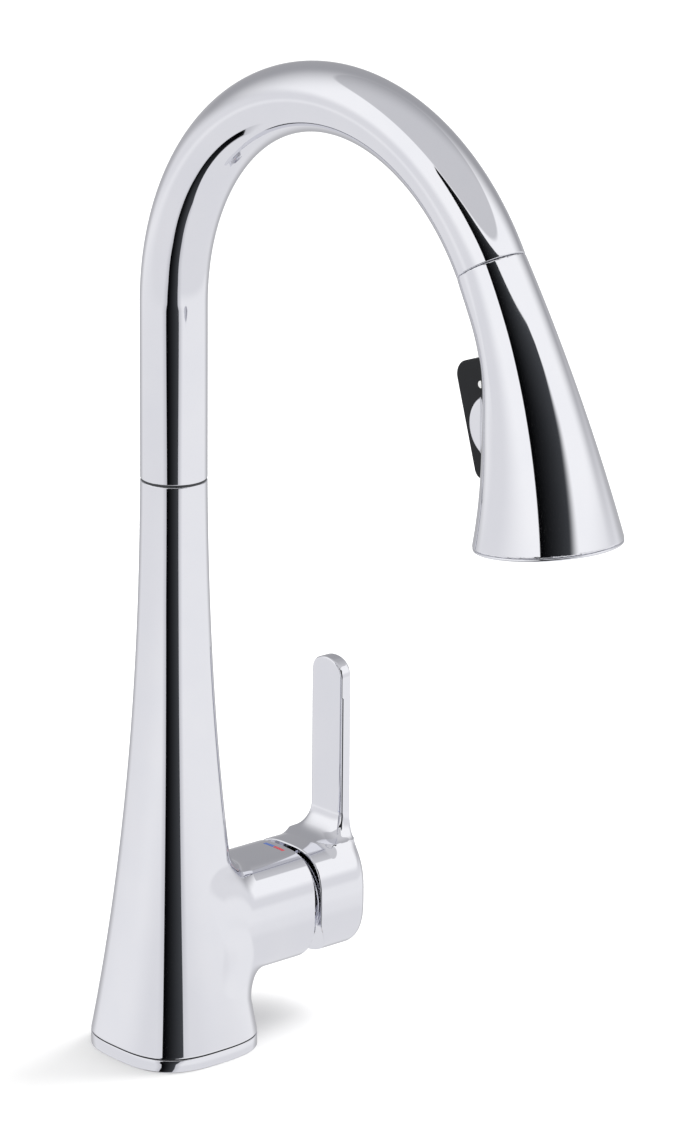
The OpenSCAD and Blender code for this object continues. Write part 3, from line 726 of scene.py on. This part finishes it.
# %% The bonnet
DOME_R, DOME_HOLE = 17, 10
skirt = [(arm_x - 5.4, DOME_R - 1.5), (arm_x - 5.4, CHAMBER_R - 0.1), (arm_x - 0.4, CHAMBER_R - 0.1),
         (arm_x, CHAMBER_R - 0.5), (arm_x, DOME_R + 0.1)]
over_dome = [(tilt_x + DOME_R * math.sin(a), DOME_R * math.cos(a))
             for a in np.linspace(0.02, math.acos(DOME_HOLE / DOME_R), 24)]
under_dome = [(tilt_x + (DOME_R - 1.5) * math.sin(a), (DOME_R - 1.5) * math.cos(a))
              for a in np.linspace(math.acos(DOME_HOLE / (DOME_R - 1.5)), 0, 10)]
DOME_SIDES = 128
turn = np.linspace(0, 2 * np.pi, DOME_SIDES, endpoint=False)
dome_rings = [np.stack([np.full(DOME_SIDES, x), r * np.sin(turn), arm_z + r * np.cos(turn)], -1)
              for x, r in skirt + over_dome + under_dome]
bonnet_dome = skin("bonnet_dome", dome_rings, closed=True)
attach(bonnet_dome, "base")
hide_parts("bonnet")

# %% [markdown]
# ## The spray face
#
# The ring round the face is plated plastic, and the nozzles are soft rubber tips
# that can be rubbed clean. Both are turned shapes on the head's last axis. Each tip
# is a small cone with a hole, because from below a row of plain pegs looks wrong.

# %% Turned shapes on the head's end
end_at, end_down, end_back = head_point(HEAD_LEN)


def turned(profile, offset=(0, 0), sides=128):
    """Outlines round the spray face's axis, from pairs of height and radius."""
    turn = np.linspace(0, 2 * np.pi, sides, endpoint=False)
    across, back = np.array((1, 0, 0)), np.array(end_back)
    rows = []
    for height, r in profile:
        centre = np.array(end_at) + height * np.array(end_down) + offset[0] * across + offset[1] * back
        rows.append(centre + np.outer(r * np.cos(turn), across) + np.outer(r * np.sin(turn), back))
    return np.array(rows)


bead = [(0.65 + 0.6 * math.cos(a), 28.25 - 0.6 + 0.6 * math.sin(a)) for a in np.linspace(np.pi, 0, 9)]
face_trim = skin("face_trim", turned(bead + [(1.25, 26.1), (0.9, 25.7), (0.05, 25.7)]), closed=True)
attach(face_trim, "head")
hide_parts("face_ring")

# %% The rubber tips
TIP_ROWS = [(12, 10), (16.5, 16), (21, 22)]             # each row's radius and its number of tips
TIP_PROFILE = [(-2.6, 1.15), (0.1, 1.15), (0.75, 0.95), (0.9, 0.75), (0.85, 0.45), (-0.8, 0.4), (-2.6, 0.4)]
TIP_SIDES = 16
tip_points, tip_faces = [], []
for radius, count in TIP_ROWS:
    for i in range(count):
        spot = 2 * np.pi * (i + 0.5) / count
        at = (radius * math.cos(spot), radius * math.sin(spot))
        rows = turned(TIP_PROFILE, at, TIP_SIDES)
        number = np.arange(len(TIP_PROFILE) * TIP_SIDES).reshape(-1, TIP_SIDES)
        number += number.size * len(tip_points)
        after = np.roll(number, -1, 0)
        quads = np.stack([number, np.roll(number, -1, 1), np.roll(after, -1, 1), after], -1)
        tip_points.append(rows.reshape(-1, 3))
        tip_faces.append(quads.reshape(-1, 4))
rubber_tips = shape("rubber_tips", np.concatenate(tip_points), np.concatenate(tip_faces))
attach(rubber_tips, "head")
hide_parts("spray_nozzles")

# %% [markdown]
# ## The spray hose
#
# The hose hides inside the spout and comes out when the head is pulled. It is a
# rubber tube in a braided nylon sleeve, and it keeps to the route that it has in the
# exact model. It is two meshes, because a blend goes by the direction from its start
# to its end, and the riser lies on the same side of that as the head: one mesh would
# drag the hose through the body's wall. The first stays with the spout. The second
# is short and stretches to the full length that comes out, so it has many rings.

# %% The route, in metres, as in the exact model
HOSE_ROUTE = [(0, -0.088), (0, -0.06), (0, -0.03), (0, 0), (0, 0.03), (0, 0.06), (0, 0.09), (0, 0.12),
              (0, 0.15), (0, 0.18), (0, 0.21), (0, 0.24), (0, 0.27), (0, 0.295), (0, 0.314),
              (-0.0014, 0.331), (-0.0054, 0.348), (-0.0123, 0.364), (-0.0219, 0.3787), (-0.034, 0.3918),
              (-0.048, 0.4023), (-0.064, 0.4105), (-0.0811, 0.4156), (-0.099, 0.4177), (-0.1171, 0.4166),
              (-0.134, 0.4122), (-0.1495, 0.4053), (-0.162, 0.3969), (-0.1684, 0.3907),
              (-0.1736, 0.3821), (-0.1787, 0.3736)]
HOSE_R = 5.5
STRETCH_FROM, STRETCH_TO = Vector((0, -0.1663, 0.3941)), Vector((0, -0.1787, 0.3736))
PULL = joints["head_pull"]["range_m"][1] / MM
STRETCH_LENGTH = 26
RING_GAP, STRETCH_GAP = 2.5, 0.25


def smooth_route(points, gap, last_gap, last_length):
    """Points along a rounded line, closer together over the last stretch."""
    points = np.array(points) / MM
    tangents = np.gradient(points, axis=0)
    dense = []
    for a, b, ta, tb in zip(points[:-1], points[1:], tangents[:-1], tangents[1:]):
        for t in np.linspace(0, 1, 60, endpoint=False):
            dense.append((2 * t ** 3 - 3 * t ** 2 + 1) * a + (t ** 3 - 2 * t ** 2 + t) * ta
                         + (3 * t ** 2 - 2 * t ** 3) * b + (t ** 3 - t ** 2) * tb)
    dense = np.array(dense + [points[-1]])
    run = np.r_[0, np.cumsum(np.linalg.norm(np.diff(dense, axis=0), axis=1))]
    last_start = run[-1] - last_length
    marks = np.r_[np.arange(0, last_start, gap), np.arange(last_start, run[-1], last_gap), run[-1]]
    return np.stack([np.interp(marks, run, dense[:, i]) for i in (0, 1)], -1), marks


route, run = smooth_route(HOSE_ROUTE, RING_GAP, STRETCH_GAP, STRETCH_LENGTH)
HOSE_SIDES = 32
hose_rings = rings_along(route, [HOSE_R] * len(route), HOSE_SIDES)
stretch = int(np.searchsorted(run, run[-1] - STRETCH_LENGTH))       # the ring where the second mesh starts
hose_in_spout = skin("hose_in_spout", hose_rings[:stretch + 1])
hose_pulled_out = skin("hose_pulled_out", hose_rings[stretch:])

# %% How the braid lies along the hose
stretch_way = STRETCH_TO - STRETCH_FROM
from_start = np.c_[np.zeros(len(route)), route] * MM - np.array(STRETCH_FROM)
share = np.clip((from_start @ np.array(stretch_way)) / stretch_way.length_squared, 0, 1)
pulled = run + PULL * share * share * (3 - 2 * share)
for hose, along in ((hose_in_spout, pulled[:stretch + 1]), (hose_pulled_out, pulled[stretch:])):
    uv = hose.data.uv_layers.new(name="braid")
    corners = np.array([loop.vertex_index for loop in hose.data.loops])
    ring_of, side_of = corners // HOSE_SIDES, corners % HOSE_SIDES
    first = np.repeat(side_of.reshape(-1, 4).max(1) == HOSE_SIDES - 1, 4)
    side_of = np.where(first & (side_of == 0), HOSE_SIDES, side_of)
    uv.data.foreach_set("uv", np.stack([side_of / HOSE_SIDES, along[ring_of]], -1).ravel())
    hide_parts("spray_hose")
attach(hose_in_spout, "spout")
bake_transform(hose_pulled_out)
print("hose", round(run[-1], 1), "mm long at rest,", round(pulled[-1], 1), "mm when pulled")

# %% [markdown]
# ## Finishes
#
# A finish starts from what the material is and how its surface was made. All of
# them share two habits: a pattern's scale comes from a real size in millimetres, and
# a number that is the same all over is set straight on the shader. Patterns follow
# the object's own coordinates, so they stay put when a piece moves.

# %% Starting a finish
def finish(name, colour, metallic, roughness, **settings):
    """A material with one shader; returns it, its tree and the shader."""
    material = bpy.data.materials.new(name)
    material.use_nodes = True
    tree = material.node_tree
    tree.nodes.clear()
    shader = add(tree, "BsdfPrincipled", Base_Color=linear(colour), Metallic=metallic,
                 Roughness=roughness, **settings)
    add(tree, "OutputMaterial", Surface=shader.outputs[0])
    material.diffuse_color = linear(colour)
    print("finish", name)
    return material, tree, shader


def per_metre(millimetres):
    """How often a pattern of this size repeats in a metre."""
    return 1 / (millimetres * MM)


def spread(tree, value, low, high):
    """Turns a pattern from 0 to 1 into numbers from low to high."""
    return add(tree, "MapRange", Value=value, To_Min=low, To_Max=high).outputs["Result"]

# %% [markdown]
# ## Polished chrome plate
#
# Half a micron of chromium over polished nickel. It is almost a mirror with a cold
# tint. A perfect mirror looks computed, so the roughness drifts by a hair between
# patches, as it does after buffing by hand, and the plate keeps the default index
# of refraction because a metal's colour already says how much it reflects.

# %% Polished chrome plate
BUFFING_MM = 22
chrome, tree, shader = finish("polished_chrome_plate", "#E6E7EC", 1.0, 0.03)
place = add(tree, "TexCoord").outputs["Object"]
patches = add(tree, "TexNoise", Vector=place, Scale=per_metre(BUFFING_MM), Detail=3.0).outputs[0]
tree.links.new(spread(tree, patches, 0.015, 0.06), shader.inputs["Roughness"])
tone = add(tree, "Mix", {"data_type": "RGBA"}, Factor=patches)
tone.inputs[6].default_value = linear("#E3E4EA")
tone.inputs[7].default_value = linear("#EAEAEE")
tree.links.new(tone.outputs[2], shader.inputs["Base Color"])

# %% [markdown]
# ## Brass, steel and the thread
#
# The hidden fittings are turned brass and drawn stainless steel. A lathe leaves fine
# rings across the axis and drawing leaves fine lines along it, so both are a
# stretched noise, only turned. The lines are really a few hundredths of a
# millimetre apart. They are drawn ten times coarser, so that they show at all.

# %% Turned brass and drawn stainless steel
def lined_metal(name, light, dark, roughness, lines_mm, length_mm, along_z):
    """A metal with fine parallel tool marks."""
    material, tree, shader = finish(name, light, 1.0, roughness)
    place = add(tree, "TexCoord").outputs["Object"]
    across, along = per_metre(lines_mm), per_metre(length_mm)
    scale = (across, across, along) if along_z else (along, along, across)
    stretched = add(tree, "Mapping", Vector=place, Scale=scale).outputs[0]
    lines = add(tree, "TexNoise", Vector=stretched, Scale=1.0, Detail=4.0).outputs[0]
    tone = add(tree, "Mix", {"data_type": "RGBA"}, Factor=lines)
    tone.inputs[6].default_value = linear(dark)
    tone.inputs[7].default_value = linear(light)
    tree.links.new(tone.outputs[2], shader.inputs["Base Color"])
    tree.links.new(spread(tree, lines, roughness - 0.08, roughness + 0.1), shader.inputs["Roughness"])
    bump = add(tree, "Bump", Height=lines, Strength=0.25, Distance=0.05 * MM)
    tree.links.new(bump.outputs[0], shader.inputs["Normal"])
    return material


brass = lined_metal("turned_brass", "#C9A661", "#A98645", 0.28, 0.4, 30, False)
steel = lined_metal("drawn_stainless_steel", "#B9BCC0", "#989BA0", 0.3, 0.3, 20, True)

# %% The cut thread of the shank
THREAD_PITCH_MM = 1.5
thread, tree, shader = finish("threaded_brass", "#C2A05A", 1.0, 0.3)
place = add(tree, "TexCoord").outputs["Object"]
turns = add(tree, "TexWave", {"bands_direction": "Z", "wave_profile": "TRI"}, Vector=place,
            Scale=per_metre(THREAD_PITCH_MM) / 20, Distortion=0.0)
groove = add(tree, "Bump", Height=turns.outputs["Fac"], Strength=1.0, Distance=0.7 * MM)
tree.links.new(groove.outputs[0], shader.inputs["Normal"])
# painted shade: the thread is coloured dark brown in its grooves and light on its crests
tone = add(tree, "Mix", {"data_type": "RGBA"}, Factor=turns.outputs["Fac"])
tone.inputs[6].default_value = linear("#6E5424")
tone.inputs[7].default_value = linear("#CDAB66")
tree.links.new(tone.outputs[2], shader.inputs["Base Color"])

# %% [markdown]
# ## Moulded plastics and rubber
#
# A moulded piece takes the grain of its steel mould, sparks or blast marks a few
# tenths of a millimetre wide. That grain is what tells matt ABS from paint. The same
# recipe serves the black trigger, the white bearings, the grey face and the rubber
# tips, with each one's own colour, gloss and grain.

# %% Moulded pieces
def moulded(name, dark, light, roughness, grain_mm, depth_mm, **settings):
    """A moulded piece with the grain of its mould."""
    material, tree, shader = finish(name, light, 0.0, roughness, **settings)
    place = add(tree, "TexCoord").outputs["Object"]
    grain = add(tree, "TexNoise", Vector=place, Scale=per_metre(grain_mm), Detail=2.0).outputs[0]
    cloud = add(tree, "TexNoise", Vector=place, Scale=per_metre(grain_mm * 14), Detail=2.0).outputs[0]
    tone = add(tree, "Mix", {"data_type": "RGBA"}, Factor=cloud)
    tone.inputs[6].default_value = linear(dark)
    tone.inputs[7].default_value = linear(light)
    tree.links.new(tone.outputs[2], shader.inputs["Base Color"])
    tree.links.new(spread(tree, grain, roughness - 0.06, roughness + 0.08), shader.inputs["Roughness"])
    bump = add(tree, "Bump", Height=grain, Strength=0.4, Distance=depth_mm * MM)
    tree.links.new(bump.outputs[0], shader.inputs["Normal"])
    return material


black_abs = moulded("moulded_black_abs", "#0A0C10", "#12151A", 0.45, 0.5, 0.03,
                    IOR=1.54, Specular_IOR_Level=0.22)
rubber = moulded("moulded_rubber", "#202124", "#2B2C2F", 0.62, 0.7, 0.04, IOR=1.52)
white_acetal = moulded("white_acetal", "#DEDEDA", "#EAEAE6", 0.38, 0.8, 0.02, IOR=1.48)
grey_abs = moulded("satin_grey_abs", "#83878C", "#94989D", 0.36, 0.5, 0.03, IOR=1.54)
washer_nylon = moulded("dark_nylon_washer", "#26282C", "#33363A", 0.45, 0.6, 0.02, IOR=1.53)

# %% [markdown]
# ## Enamel marks, the painted glint on the trigger and the magnet
#
# Blue and red enamel are filled into shallow slots and polished flush, so they are
# glossy with a slightly darker rim of colour here and there. The white dot on the
# trigger is a painted highlight, a glint of light drawn as a white mark. The magnet
# under the spout's mouth is plated with nickel, which is warmer and duller than chrome.

# %% Enamel, the painted glint and nickel
cold_enamel = moulded("cold_blue_enamel", "#3556A6", "#4A72C8", 0.16, 0.9, 0.01, IOR=1.5, Coat_Weight=0.4)
hot_enamel = moulded("hot_red_enamel", "#B3243A", "#D63C4C", 0.16, 0.9, 0.01, IOR=1.5, Coat_Weight=0.4)
# painted highlight: the trigger's white dot is a glint of light drawn as a white mark
painted_glint_white = moulded("painted_white_glint", "#E4E4E4", "#F4F4F4", 0.45, 0.4, 0.01, IOR=1.5)
nickel = lined_metal("nickel_plate", "#8B8A86", "#75746F", 0.32, 0.6, 12, False)

# %% [markdown]
# ## Braided nylon
#
# Sixteen flat strands wind one way round the hose and sixteen the other way, over
# and under. The pattern could be modelled strand by strand, but at this size the
# bumps of two crossing waves look the same. It follows the two numbers that the
# hose's mesh carries: how far round, and how many millimetres along.

# %% Braided nylon
STRANDS = 16
LAY_MM = 2 * math.pi * HOSE_R           # a strand goes once round in this length, at 45 degrees
braid, tree, shader = finish("braided_nylon", "#4A4D52", 0.0, 0.5, IOR=1.53)
parts = add(tree, "SeparateXYZ", Vector=add(tree, "UVMap", {"uv_map": "braid"}).outputs[0])


def strand(sign):
    """How high a point lies on the strands that wind one way."""
    turns = add(tree, "Math", {"operation": "MULTIPLY_ADD"}, _0=parts.outputs["Y"], _1=sign / LAY_MM,
                _2=parts.outputs["X"]).outputs[0]
    angle = add(tree, "Math", {"operation": "MULTIPLY"}, _0=turns, _1=2 * math.pi * STRANDS).outputs[0]
    return add(tree, "Math", {"operation": "SINE"}, _0=angle).outputs[0]


over = add(tree, "Math", {"operation": "MULTIPLY"}, _0=strand(1.0), _1=strand(-1.0)).outputs[0]
weave = add(tree, "MapRange", Value=over, From_Min=-1.0).outputs["Result"]
# painted shade: the braid is coloured darker where the weave lies low, between the strands
tone = add(tree, "Mix", {"data_type": "RGBA"}, Factor=weave)
tone.inputs[6].default_value = linear("#26282B")
tone.inputs[7].default_value = linear("#6B6F75")
tree.links.new(tone.outputs[2], shader.inputs["Base Color"])
raised_strands = add(tree, "Bump", Height=weave, Strength=0.8, Distance=0.35 * MM)
tree.links.new(raised_strands.outputs[0], shader.inputs["Normal"])

# %% [markdown]
# ## Who wears what
#
# The pieces made here get their finish, and so does every node of the exact model,
# hidden fittings included: the head comes off the spout, and then they are seen.

# %% Putting on the finishes
WEARS = {
    chrome: ["handle_plug"],
    brass: ["mounting_nut", "spout_nipple", "hose_coupling", "hose_nut", "cartridge_nut", "diverter_plunger"],
    thread: ["shank"],
    steel: ["deck_washer", "clamp_screws", "supply_tubes", "outlet_tube", "retaining_clip", "hose_ferrule",
            "head_collar", "trigger_pin", "trigger_spring", "stem_pin", "valve_stem", "handle_screw"],
    black_abs: ["dock_insert", "waterway", "aerator", "stem_turret"],
    rubber: ["base_gasket", "deck_seal", "cartridge_seals"],
    white_acetal: ["spout_bushings", "check_valve", "cartridge"],
    grey_abs: ["spray_face"],
    washer_nylon: ["glide_washer"],
    cold_enamel: ["cold_mark"],
    hot_enamel: ["hot_mark"],
    # the trigger's white dot wears the painted highlight
    painted_glint_white: ["trigger_marks"],
    nickel: ["dock_magnet"],
}
for material, names in WEARS.items():
    for name in names:
        for slot in frame["nodes"][name].material_slots:
            slot.material = material
for piece in (cast_body, trim_ring, spout_pipe, head_cover, lever_handle, bonnet_dome, face_trim):
    piece.data.materials.append(chrome)
trigger_key.data.materials.append(black_abs)
rubber_tips.data.materials.append(rubber)
base_groove.data.materials.append(rubber)
for hose in (hose_in_spout, hose_pulled_out):
    hose.data.materials.append(braid)
dressed = {name for names in WEARS.values() for name in names}
replaced = {"body", "base_ring", "spout_tube", "head_shell", "trigger", "handle", "bonnet", "face_ring",
            "spray_nozzles", "spray_hose"}
print("nodes without a finish:", sorted(set(frame["nodes"]) - dressed - replaced))

# %% [markdown]
# ## The floor and the soft light
#
# A pale floor runs to the horizon. It takes a soft shadow at the foot of the faucet
# and nothing else: the chrome looks past it into the studio, because a floor that
# comes up to the base would wash out the stripe of the card. One large lamp from the
# upper right gives the plastic some shape and the shadow its direction.

# %% The floor
FLOOR_SIZE = 40
floor_mesh = bpy.data.meshes.new("floor")
half = FLOOR_SIZE / 2
floor_corners = [(-half, -half, 0), (half, -half, 0), (half, half, 0), (-half, half, 0)]
floor_mesh.from_pydata(floor_corners, [], [(0, 1, 2, 3)])
floor = bpy.data.objects.new("floor", floor_mesh)
bpy.context.scene.collection.objects.link(floor)
floor_mesh.materials.append(moulded("pale_floor", "#F6F6F6", "#F8F8F8", 0.9, 3.0, 0.01))
floor.visible_glossy = False
floor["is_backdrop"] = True

# %% The lamp
lamp = bpy.data.lights.new("soft_lamp", "AREA")
lamp.shape = "DISK"
lamp.size = 1.3
lamp.energy = 32
lamp_at = Vector((1.5, -0.2, 1.8))
lit_place = Vector((0, -0.05, 0.15))
lamp_object = bpy.data.objects.new("soft_lamp", lamp)
lamp_object.matrix_world = (lamp_at - lit_place).to_track_quat("Z", "Y").to_matrix().to_4x4()
lamp_object.location = lamp_at
lamp_object.visible_glossy = False
bpy.context.scene.collection.objects.link(lamp_object)
print("lamp", round((lamp_at - lit_place).length, 2), "m from the faucet")

# %% [markdown]
# ## The size, kept
#
# Drawing a piece again must not change its size. The box of the exact model and
# the box of everything shown are compared, and their largest difference is printed.

# %% The two boxes
shown_low, shown_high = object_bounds()
apart = [abs(a - b) for a, b in zip((*cad_low, *cad_high), (*shown_low, *shown_high))]
print("largest difference", round(max(apart) / MM, 2), "mm")
